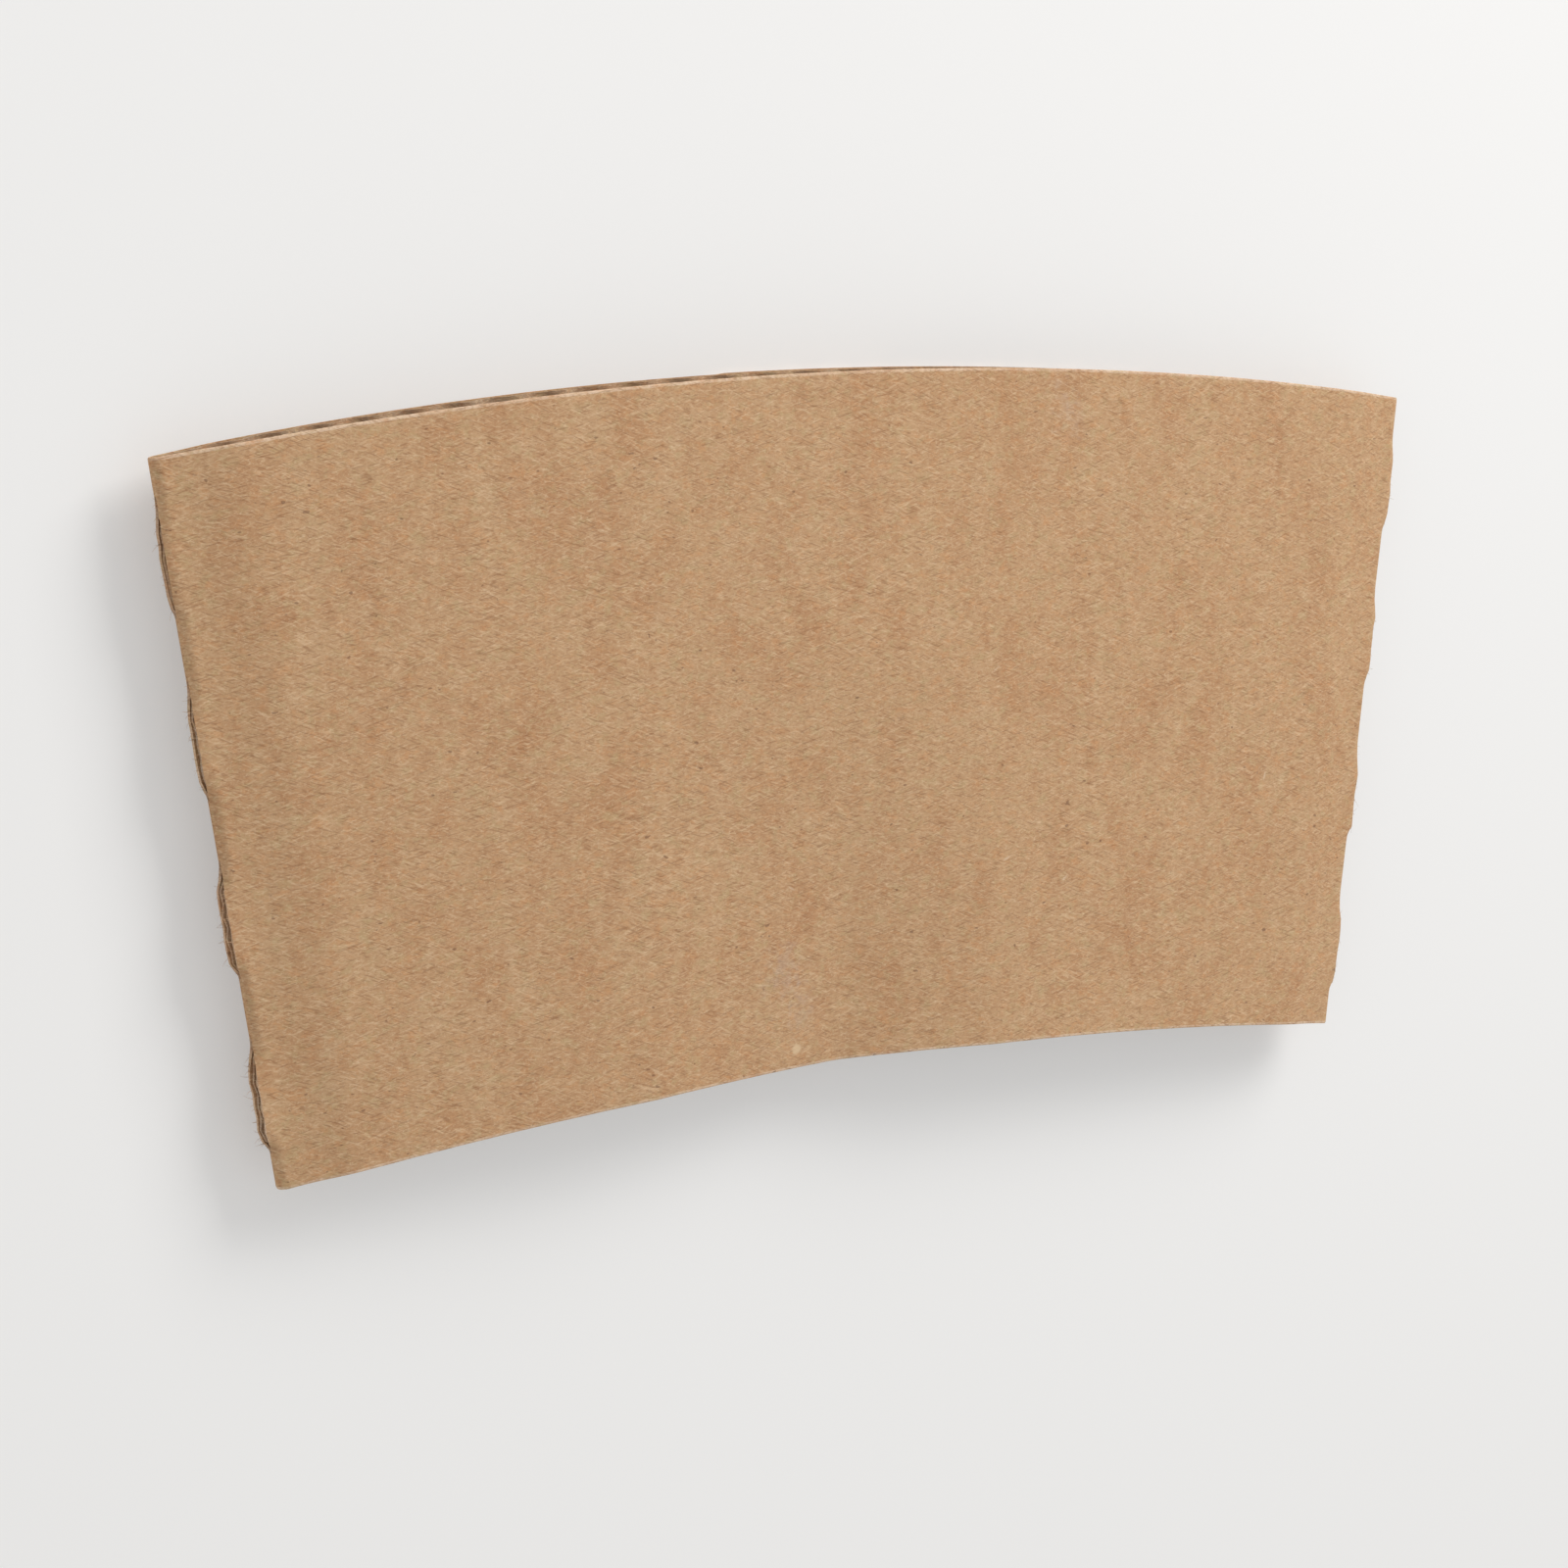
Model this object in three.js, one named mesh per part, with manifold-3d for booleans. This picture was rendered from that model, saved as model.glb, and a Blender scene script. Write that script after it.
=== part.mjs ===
// Coffee cup sleeve of single-face corrugated board, folded flat and glued at one lap.
// It lies on its seam side: the plain panel is up, and the wide edge points to +Y.
// Millimetres, +Z up. The origin is under the middle of the folded sleeve.
//
// The blank is drawn flat first: fluted board along Y, trimmed to a sector of a ring and
// slit along its two fold lines. Then its wings are folded under the plain panel.

import * as THREE from 'three';
import { mergeVertices } from 'three/addons/utils/BufferGeometryUtils.js';
import Module from 'manifold-3d';

const wasm = await Module();
wasm.setup();

// The blank
const HEIGHT = 60; // between the two arched edges
const BOTTOM_RADIUS = 380; // of the narrow edge's arc
const PANEL_ANGLE = THREE.MathUtils.degToRad(17); // between the two folds
const LAP_WIDTH = 21.5; // glued overlap of the wings, at mid-height
const SEAM_SHIFT = 1.2; // of the lap's middle from the panel's, away from the outer wing's fold
const CORNER_RADIUS = 4; // at the wings' free corners

// The board
const BOARD = 1.6; // whole thickness, liner and flutes
const LINER = 0.3;
const MEDIUM = 0.25; // paper of the flutes
const FLUTE_PITCH = 4.2;
const GLUE_LINE = 0.7; // width on which a flute is stuck to the liner
const WASHBOARD = 0.03; // sag of the liner's face between two such lines

// The perforated folds
const SLIT = 9.8;
const BRIDGE = 4.9; // uncut board between two slits
const LEAST_END = 2; // uncut board left at each end of a fold, at least
const SLIT_GAP = 0.16; // width of the knife's cut
const CRUSHED_FLUTE = 0.2; // height left in the flutes where the folds are pressed
const CRUSH_WIDTH = 6.5; // from the fold's bend to the full thickness
const FOLD_PLAY = 0.15; // from the fold's middle to the board's inner side
const LIP_BEND = 0.3; // share of the fold's bend that the lips of a slit keep
const LOWER_RELEASE = 1.2; // length in which a slit's lip straightens, at its lower end
const UPPER_RELEASE = 3; // the same at its upper end

// The shape in which it has sprung open
const RISE_TOP = 2.6; // of the plain panel's middle over its folds, past the pressed step
const RISE_UNDER = 2.6; // of the folds over the underside, past the pressed step
const REST_WIDTH = 27; // flat strip of the underside
const GLUE_BITE = 0.04; // depth to which the lap's flutes sink into the glue

// A soft crease along a flute, pressed into the plain panel from its narrow edge
const DENT_DEPTH = 2.4;
const DENT_HEIGHT = 36;
const DENT_PLACE = -2.1; // across the panel, from its middle: half a flute
const DENT_LEFT = 20;
const DENT_RIGHT = 15.5;

const KRAFT = 0xbc9773;

// Worked out from the sizes above
const TOP_RADIUS = BOTTOM_RADIUS + HEIGHT;
const MID_RADIUS = BOTTOM_RADIUS + HEIGHT / 2;
const FOLD_ANGLE = PANEL_ANGLE / 2;
const WING_ANGLE = (PANEL_ANGLE + LAP_WIDTH / MID_RADIUS) / 2;
const OUTER_END = FOLD_ANGLE + WING_ANGLE + SEAM_SHIFT / MID_RADIUS;
const INNER_END = FOLD_ANGLE + WING_ANGLE - SEAM_SHIFT / MID_RADIUS;
const FLUTE_HEIGHT = BOARD - LINER - MEDIUM;
const CRUSHED_BOARD = LINER + MEDIUM + CRUSHED_FLUTE;
const FOLD_RADIUS = CRUSHED_BOARD + FOLD_PLAY;
const BEND = (FOLD_RADIUS * Math.PI) / 2; // board taken up by a quarter turn of the fold
const PRESSED_STEP = BOARD - CRUSHED_BOARD;
const FOLD_LEVEL = FOLD_RADIUS + PRESSED_STEP + RISE_UNDER; // height of the folds' middle
const Y_MIDDLE = (TOP_RADIUS + BOTTOM_RADIUS * Math.cos(FOLD_ANGLE)) / 2;
const TOUCH = 1e-4; // what lies closer than this to a line counts as on it
const EVEN = 0.005; // a point that leaves the surface this even isn't needed
const ARC_STEPS = 24; // facets of the blank's long arcs
const CORNER_STEPS = 5;

const clamp01 = (value) => Math.min(Math.max(value, 0), 1);
const smooth = (value) => value * value * (3 - 2 * value);
const mix = (a, b, share) => a + (b - a) * share;

// Solids for joining and cutting

function toSolid(geometry) {
  const bare = geometry.clone();
  bare.deleteAttribute('normal');
  bare.deleteAttribute('uv');
  const merged = mergeVertices(bare, TOUCH);
  return solidOf(merged.attributes.position.array, merged.index.array);
}

function solidOf(positions, indices) {
  const mesh = new wasm.Mesh({
    numProp: 3,
    vertProperties: new Float32Array(positions),
    triVerts: new Uint32Array(indices),
  });
  return new wasm.Manifold(mesh);
}

// Extrudes an outline drawn in X and Y upwards from z = bottom.
function plate(outline, bottom, thickness) {
  const shape = new THREE.Shape(outline);
  const geometry = new THREE.ExtrudeGeometry(shape, { depth: thickness, bevelEnabled: false });
  return toSolid(geometry.translate(0, 0, bottom));
}

// The flat blank. Its rings are centred on (0, -MID_RADIUS), the liner's face is at
// z = 0, and the flutes stand on it and run along Y.

// Points of an arc round (x, y). Turns are measured from +Y towards +X.
function arcPoints(x, y, radius, from, to, steps) {
  return Array.from({ length: steps + 1 }, (_, i) => {
    const turn = mix(from, to, i / steps);
    return new THREE.Vector2(x + radius * Math.sin(turn), y + radius * Math.cos(turn));
  });
}

function blankOutline() {
  const quarter = Math.PI / 2;
  const high = TOP_RADIUS - CORNER_RADIUS;
  const low = BOTTOM_RADIUS + CORNER_RADIUS;
  const highInset = Math.asin(CORNER_RADIUS / high);
  const lowInset = Math.asin(CORNER_RADIUS / low);
  const ring = (radius, from, to) => arcPoints(0, -MID_RADIUS, radius, from, to, ARC_STEPS);
  const corner = (radius, turn, from, to) => {
    const x = radius * Math.sin(turn);
    const y = radius * Math.cos(turn) - MID_RADIUS;
    return arcPoints(x, y, CORNER_RADIUS, from, to, CORNER_STEPS);
  };
  const [highLeft, highRight] = [highInset - INNER_END, OUTER_END - highInset];
  const [lowLeft, lowRight] = [lowInset - INNER_END, OUTER_END - lowInset];
  return [
    ...ring(TOP_RADIUS, highLeft, highRight),
    ...corner(high, highRight, highRight, OUTER_END + quarter).slice(1),
    ...corner(low, lowRight, OUTER_END + quarter, lowRight + Math.PI),
    ...ring(BOTTOM_RADIUS, lowRight, lowLeft).slice(1),
    ...corner(low, lowLeft, lowLeft - Math.PI, -INNER_END - quarter).slice(1),
    ...corner(high, highLeft, -INNER_END - quarter, highLeft).slice(0, -1),
  ];
}

// One flute, from one stuck line to the next: shares of its width and of its height.
const FLUTE = [[0, 0], [0.2, 0.38], [0.4, 1], [0.6, 1], [0.8, 0.38], [1, 0]];
const fluteShape = (start, width) =>
  FLUTE.map(([across, up]) => [start + across * width, up * FLUTE_HEIGHT]);
const CROWN = fluteShape(0, FLUTE_PITCH); // the open side
const ROOF = fluteShape(GLUE_LINE / 2, FLUTE_PITCH - GLUE_LINE); // over the tunnel

// Height of the tunnel's roof over the liner, anywhere across the board.
function roofHeight(x) {
  const place = x - Math.floor(x / FLUTE_PITCH) * FLUTE_PITCH;
  for (let i = 1; i < ROOF.length; i += 1) {
    const [[x0, z0], [x1, z1]] = [ROOF[i - 1], ROOF[i]];
    if (place >= x0 && place <= x1) return mix(z0, z1, (place - x0) / (x1 - x0));
  }
  return 0;
}

// A strip of single-face board, wider and longer than the blank.
function flutedBoard() {
  const widest = Math.max(OUTER_END, INNER_END);
  const count = Math.ceil((TOP_RADIUS * Math.sin(widest)) / FLUTE_PITCH) + 1;
  const starts = Array.from({ length: 2 * count }, (_, k) => (k - count) * FLUTE_PITCH);
  const spare = 1;
  const top = TOP_RADIUS - MID_RADIUS + spare;
  const bottom = BOTTOM_RADIUS * Math.cos(widest) - MID_RADIUS - spare;
  const alongFlutes = (section) => {
    const depth = top - bottom;
    const geometry = new THREE.ExtrudeGeometry(section, { depth, bevelEnabled: false });
    geometry.rotateX(Math.PI / 2);
    return toSolid(geometry.translate(0, top, 0));
  };

  const section = new THREE.Shape();
  section.moveTo(-starts[0], LINER + MEDIUM);
  for (const start of starts.toReversed()) {
    section.lineTo(start + FLUTE_PITCH, 0);
    section.lineTo(start + FLUTE_PITCH / 2, WASHBOARD);
  }
  section.lineTo(starts[0], 0);
  for (const start of starts) {
    for (const [x, z] of CROWN.slice(0, -1)) section.lineTo(start + x, LINER + MEDIUM + z);
  }

  const tunnel = alongFlutes(new THREE.Shape(ROOF.map(([x, z]) => new THREE.Vector2(x, LINER + z))));
  const tunnels = starts.map((start) => tunnel.translate([start, 0, 0]));
  return alongFlutes(section).subtract(wasm.Manifold.union(tunnels));
}

// Where each slit starts and ends, on a fold line, from the rings' centre.
function slitEnds() {
  const pitch = SLIT + BRIDGE;
  const count = Math.floor((HEIGHT - 2 * LEAST_END + BRIDGE) / pitch);
  const first = MID_RADIUS - (count * pitch - BRIDGE) / 2;
  return Array.from({ length: count }, (_, i) => [first + i * pitch, first + i * pitch + SLIT]);
}
const SLITS = slitEnds();

function slitKnife(side, [start, end]) {
  const geometry = new THREE.BoxGeometry(SLIT_GAP, end - start, 4 * BOARD);
  geometry.translate(0, (start + end) / 2, 0);
  geometry.rotateZ(-side * FOLD_ANGLE);
  return toSolid(geometry.translate(0, -MID_RADIUS, 0));
}

function flatBlank() {
  let blank = flutedBoard().intersect(plate(blankOutline(), -BOARD, 3 * BOARD));
  for (const slit of SLITS) {
    blank = blank.subtract(slitKnife(-1, slit)).subtract(slitKnife(1, slit));
  }
  return blank;
}

// The blank's half on one side of the plain panel's middle.
function halfOf(blank, side) {
  const reach = side * TOP_RADIUS;
  const corners = [[0, -TOP_RADIUS], [reach, -TOP_RADIUS], [reach, TOP_RADIUS], [0, TOP_RADIUS]];
  const outline = corners.map(([x, y]) => new THREE.Vector2(x, y));
  return blank.intersect(plate(outline, -BOARD, 3 * BOARD));
}

// Where a point of the flat blank lies beside the nearer fold line: `inside` is its
// distance from the line, above 0 on the plain panel, and `along` its place on the line.
// `middle` is how far the folded point will be from the panel's middle line.
function placeOf(x, y) {
  const side = x < 0 ? -1 : 1;
  const up = y + MID_RADIUS;
  const inside = up * Math.sin(FOLD_ANGLE) - side * x * Math.cos(FOLD_ANGLE);
  const along = up * Math.cos(FOLD_ANGLE) + side * x * Math.sin(FOLD_ANGLE);
  const half = Math.hypot(x, up) * Math.sin(FOLD_ANGLE);
  return { side, inside, along, half, middle: half - Math.abs(inside) };
}

// Edge lines across the flat mesh, where it will bend

// Splits the edges on which `side` changes its sign, if it does so `where` they count.
function splitAlong(mesh, side, where) {
  const { points } = mesh;
  const values = points.map(side);
  const cuts = new Map();
  const cutBetween = (from, to) => {
    const [a, b] = from < to ? [from, to] : [to, from];
    const key = `${a} ${b}`;
    if (!cuts.has(key)) {
      const clear = Math.min(Math.abs(values[a]), Math.abs(values[b])) > TOUCH;
      const share = values[a] / (values[a] - values[b]);
      const crossing = points[a].map((value, i) => mix(value, points[b][i], share));
      const isCut = clear && values[a] * values[b] < 0 && where(crossing);
      cuts.set(key, isCut ? points.push(crossing) - 1 : null);
    }
    return cuts.get(key);
  };
  const length = (a, b) => Math.hypot(...points[a].map((value, i) => value - points[b][i]));
  mesh.faces = mesh.faces.flatMap((face) => {
    let [a, b, c] = face;
    let ends = [cutBetween(a, b), cutBetween(b, c), cutBetween(c, a)];
    const count = ends.filter((cut) => cut !== null).length;
    if (count === 0) return [face];
    // Turned until the first edge is cut, and of two cut edges the last is the other.
    while (ends[0] === null || (count === 2 && ends[2] === null)) {
      [a, b, c] = [b, c, a];
      ends = [ends[1], ends[2], ends[0]];
    }
    const [ab, , ca] = ends;
    if (count === 1) return [[a, ab, c], [ab, b, c]];
    if (length(ab, c) < length(ca, b)) return [[a, ab, ca], [ab, b, c], [ab, c, ca]];
    return [[a, ab, ca], [ab, b, ca], [b, c, ca]];
  });
}

function addFoldLines(mesh) {
  const inBend = ([x, y]) => Math.abs(placeOf(x, y).inside) < BEND + TOUCH;
  for (const [start, end] of SLITS) {
    for (const row of [start, start + LOWER_RELEASE, end - UPPER_RELEASE, end]) {
      splitAlong(mesh, ([x, y]) => placeOf(x, y).along - row, inBend);
    }
  }
  const anywhere = () => true;
  for (const step of [BEND + CRUSH_WIDTH, BEND, BEND / 2, 0]) {
    splitAlong(mesh, ([x, y]) => placeOf(x, y).inside - step, anywhere);
    if (step > 0) splitAlong(mesh, ([x, y]) => placeOf(x, y).inside + step, anywhere);
  }
}

function addRestLine(mesh) {
  const onWing = ([x, y]) => placeOf(x, y).inside < 0;
  splitAlong(mesh, ([x, y]) => placeOf(x, y).middle - REST_WIDTH / 2, onWing);
}

function addDentLine(mesh) {
  const dented = ([x]) => x > DENT_PLACE - DENT_LEFT && x < DENT_PLACE + DENT_RIGHT;
  splitAlong(mesh, ([x, y]) => Math.hypot(x, y + MID_RADIUS) - BOTTOM_RADIUS - DENT_HEIGHT, dented);
}

// Folding

// 1 where a fold is uncut, down to LIP_BEND between the ends of a slit.
function bentShare(along) {
  const slit = SLITS.find(([start, end]) => along > start && along < end);
  if (!slit) return 1;
  const lower = 1 - (along - slit[0]) / LOWER_RELEASE;
  const upper = 1 - (slit[1] - along) / UPPER_RELEASE;
  return Math.max(lower, upper, LIP_BEND);
}

// Rise of a panel's arch, which is level within `level` of the middle line.
function arch(place, rise, level) {
  const span = place.half - BEND - level;
  return rise * (1 - clamp01((place.middle - level) / span) ** 2);
}

function dent(x, y) {
  const offset = x - DENT_PLACE;
  const across = clamp01(1 - Math.abs(offset) / (offset < 0 ? DENT_LEFT : DENT_RIGHT));
  const height = Math.hypot(x, y + MID_RADIUS) - BOTTOM_RADIUS;
  return DENT_DEPTH * across * clamp01(1 - height / DENT_HEIGHT);
}

// A point's place after folding. Its depth is its distance under the liner's face.
function folded([x, y, flatDepth]) {
  const place = placeOf(x, y);
  const { side, inside, along } = place;
  const away = Math.abs(inside);
  const pressed = 1 - smooth(clamp01((away - BEND) / CRUSH_WIDTH));

  const level = inside < 0 && place.middle < REST_WIDTH / 2 + TOUCH;
  const squashed = pressed * (1 - CRUSHED_FLUTE / FLUTE_HEIGHT) * roofHeight(x);
  let depth = flatDepth;
  if (flatDepth > LINER + TOUCH) depth -= squashed;
  else if (level && flatDepth < LINER / 2) depth = 0; // the face is pressed even there

  const turn = Math.max(BEND - away, 0) / FOLD_RADIUS;
  const radius = FOLD_RADIUS - depth;
  const share = away < BEND ? bentShare(along) : 0;
  const reach = mix(away, BEND - radius * Math.sin(turn), share);
  const rise = mix(radius, radius * Math.cos(turn), share) + PRESSED_STEP * (1 - pressed);

  let height;
  if (inside > 0) height = rise + arch(place, RISE_TOP, 0) - dent(x, y);
  else if (side > 0) height = -rise - arch(place, RISE_UNDER, REST_WIDTH / 2);
  else height = -rise - arch(place, RISE_UNDER - BOARD + GLUE_BITE, REST_WIDTH / 2);
  return [
    side * (along * Math.sin(FOLD_ANGLE) - reach * Math.cos(FOLD_ANGLE)),
    along * Math.cos(FOLD_ANGLE) + reach * Math.sin(FOLD_ANGLE) - Y_MIDDLE,
    FOLD_LEVEL + height,
  ];
}

// The solid's points as [x, y, z] and its triangles, which splitAlong can add to.
function openMesh(solid) {
  const { vertProperties, triVerts } = solid.getMesh();
  const triples = (array) =>
    Array.from({ length: array.length / 3 }, (_, i) => Array.from(array.slice(3 * i, 3 * i + 3)));
  return { points: triples(vertProperties), faces: triples(triVerts) };
}

function foldedHalf(blank, side) {
  const mesh = openMesh(halfOf(blank, side));
  addFoldLines(mesh);
  addRestLine(mesh);
  addDentLine(mesh);
  const turned = mesh.faces.map(([a, b, c]) => [a, c, b]); // as folding mirrors the blank
  return solidOf(mesh.points.map(folded).flat(), turned.flat());
}

function sleeveGeometry() {
  const blank = flatBlank();
  const whole = foldedHalf(blank, 1).add(foldedHalf(blank, -1)).simplify(EVEN);
  const { vertProperties, triVerts } = whole.getMesh();
  const geometry = new THREE.BufferGeometry();
  geometry.setAttribute('position', new THREE.BufferAttribute(vertProperties, 3));
  geometry.setIndex(new THREE.BufferAttribute(triVerts, 1));
  geometry.computeVertexNormals();
  return geometry;
}

const kraft = new THREE.MeshStandardMaterial({ color: KRAFT, roughness: 0.85, metalness: 0 });
const sleeve = new THREE.Mesh(sleeveGeometry(), kraft);
sleeve.name = 'sleeve';

const cupSleeve = new THREE.Group();
cupSleeve.add(sleeve);

export default cupSleeve;
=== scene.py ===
import math

import bpy
import numpy as np
from mathutils import Matrix


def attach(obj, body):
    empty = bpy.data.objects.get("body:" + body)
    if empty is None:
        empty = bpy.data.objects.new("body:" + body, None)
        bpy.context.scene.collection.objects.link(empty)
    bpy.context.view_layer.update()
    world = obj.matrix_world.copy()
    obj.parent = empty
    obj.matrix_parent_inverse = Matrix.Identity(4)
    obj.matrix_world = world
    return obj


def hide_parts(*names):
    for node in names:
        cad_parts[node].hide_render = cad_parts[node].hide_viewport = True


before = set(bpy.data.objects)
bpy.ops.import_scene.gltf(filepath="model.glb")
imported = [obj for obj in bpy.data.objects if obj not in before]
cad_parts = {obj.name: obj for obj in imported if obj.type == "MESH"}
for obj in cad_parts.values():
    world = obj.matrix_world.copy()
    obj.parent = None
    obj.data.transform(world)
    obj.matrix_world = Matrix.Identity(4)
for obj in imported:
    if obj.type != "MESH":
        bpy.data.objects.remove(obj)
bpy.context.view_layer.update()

# Liner. The smooth outer sheet of the board, 0.3 mm of brown kraft, die-cut as a sector of a ring.
# It is folded at two lines of slits, and its wings meet behind the plain panel in a glued lap.
# Lengths are in millimetres and turns about the ring's centre in radians, as in the CAD part.
MM = 0.001
TOP_RADIUS = 440.0
BOTTOM_RADIUS = 380.0
HEIGHT = TOP_RADIUS - BOTTOM_RADIUS  # between the two arcs
MID_RADIUS = BOTTOM_RADIUS + HEIGHT / 2
FOLD_ANGLE = math.radians(8.5)  # from the panel's middle to a fold
LAP_WIDTH = 21.5  # glued overlap of the wings, at mid-height
SEAM_SHIFT = 1.2  # of the lap's middle from the panel's, away from the outer wing's fold
WING_ANGLE = (2 * FOLD_ANGLE + LAP_WIDTH / MID_RADIUS) / 2
OUTER_END = FOLD_ANGLE + WING_ANGLE + SEAM_SHIFT / MID_RADIUS
INNER_END = FOLD_ANGLE + WING_ANGLE - SEAM_SHIFT / MID_RADIUS
CORNER_RADIUS = 4.0  # at the wings' free corners
BOARD = 1.6  # whole thickness, liner and flutes
LINER = 0.3
MEDIUM = 0.25  # paper of the flutes
FLUTE_PITCH = 4.2
WASHBOARD = 0.03  # sag of the liner's face between two flutes' glue lines
CRUSHED_FLUTE = 0.2  # height left in the flutes where the folds are pressed
CRUSH_WIDTH = 6.5  # from the fold's bend to the full thickness
FOLD_PLAY = 0.15  # from the fold's middle to the board's inner side
FOLD_RADIUS = LINER + MEDIUM + CRUSHED_FLUTE + FOLD_PLAY
BEND = FOLD_RADIUS * math.pi / 2  # board taken up by a quarter turn of the fold
PRESSED_STEP = BOARD - LINER - MEDIUM - CRUSHED_FLUTE
RISE = 2.6  # of the panel's middle over the folds, and of the folds over the underside
FOLD_LEVEL = FOLD_RADIUS + PRESSED_STEP + RISE  # height of the folds' middle
REST_WIDTH = 27.0  # level strip of the underside
GLUE_BITE = 0.04  # depth to which the lap's flutes sink into the glue
Y_MIDDLE = (TOP_RADIUS + BOTTOM_RADIUS * math.cos(FOLD_ANGLE)) / 2
PARTS = ("panel", "outer", "inner")  # the plain panel and the two wings
WITHIN = 0.9998  # keeps the finer mesh within the CAD part's box


def smooth(value):
    """The cubic step 3 t^2 - 2 t^3 of a value held between 0 and 1."""
    t = np.clip(value, 0, 1)
    return t * t * (3 - 2 * t)


def waves(along, seed, length, count=5):
    """A smooth wandering value between about -1 and 1: sines of random phases, each a bit shorter
    and lower than the one before."""
    random = np.random.default_rng(seed)
    total = 0
    for i in range(count):
        phase, stretch = random.uniform(0, 2 * np.pi), random.uniform(0.7, 1.4)
        total = total + np.sin(2 * np.pi * along / (length * stretch / (1 + 0.6 * i)) + phase) / (1 + i)
    return total / 1.6


SLITS = 4
SLIT = 9.8
BRIDGE = 4.9  # uncut board between two slits
SLIT_STARTS = MID_RADIUS - (SLITS * SLIT + (SLITS - 1) * BRIDGE) / 2 + (SLIT + BRIDGE) * np.arange(SLITS)
SLIT_GAP = 0.16  # width of the knife's cut
SLIT_MARGIN = 0.01  # at each end of a slit, where its cut doesn't gape yet
LEAST_TEAR = 0.02  # keeps the two edges of a slit apart
TEAR_WAVE = 1.6  # wavelength of the torn edges
LOWER_RELEASE, UPPER_RELEASE = 1.4, 3.4  # lengths in which a slit's lip straightens
LEFT_INNER_LIPS = (0.04, 0.08, 0.34, 0.42)  # share of the bend that each lip keeps, from below
LEFT_PANEL_LIPS = (0.06, 0.1, 0.3, 0.4)
RIGHT_LIPS = (0.34, 0.42, 0.46, 0.42)
LIP_WANDER, LIP_WAVE = 0.07, 5.0  # how far that share strays along a lip, and its wavelength
FOLDS_APART = 40.0  # shift along the wandering values, so that the two folds differ


def bent_share(along, part, side):
    """1 where a fold is uncut, and less along a slit, where its lips stand out. A cubic step leads
    from 1 to each lip's own share, over the slit's LOWER_RELEASE and UPPER_RELEASE."""
    share = np.ones_like(along)
    left_lips = LEFT_INNER_LIPS if part == "inner" else LEFT_PANEL_LIPS
    for start, left, right in zip(SLIT_STARTS, left_lips, RIGHT_LIPS):
        inside = (along > start) & (along < start + SLIT)
        release = np.minimum((along - start) / LOWER_RELEASE, (start + SLIT - along) / UPPER_RELEASE)
        wander = LIP_WANDER * waves(along + FOLDS_APART * side, seed=11, length=LIP_WAVE)
        keep = np.where(side < 0, left, right) + wander
        share = np.where(inside, 1 - (1 - keep) * smooth(release), share)
    return share


def in_slit(along):
    """True beside a slit."""
    return sum(
        (along > start + SLIT_MARGIN) & (along < start + SLIT - SLIT_MARGIN) for start in SLIT_STARTS
    ) > 0


def pressed_share(away):
    """1 on the crushed fold and 0 past CRUSH_WIDTH, with a cubic step between them."""
    return 1 - smooth((away - BEND) / CRUSH_WIDTH)


DENT_DEPTH = 2.4
DENT_HEIGHT = 36.0
DENT_PLACE = -2.1  # across the panel, from its middle
DENT_LEFT, DENT_RIGHT = 20.0, 15.5  # widths of its two flanks
DENT_SOFTNESS = 0.7  # rounding of its ridge


def dent(x, radius):
    """Depth of the crease in the plain panel: a ridge roof across it, which falls evenly from the
    narrow edge to nothing at DENT_HEIGHT."""
    offset = x - DENT_PLACE
    flank = np.where(offset < 0, DENT_LEFT, DENT_RIGHT)
    across = np.clip(1 - np.sqrt(offset ** 2 + DENT_SOFTNESS ** 2) / flank, 0, 1)
    return DENT_DEPTH * across * np.clip(1 - (radius - BOTTOM_RADIUS) / DENT_HEIGHT, 0, 1)


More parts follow.
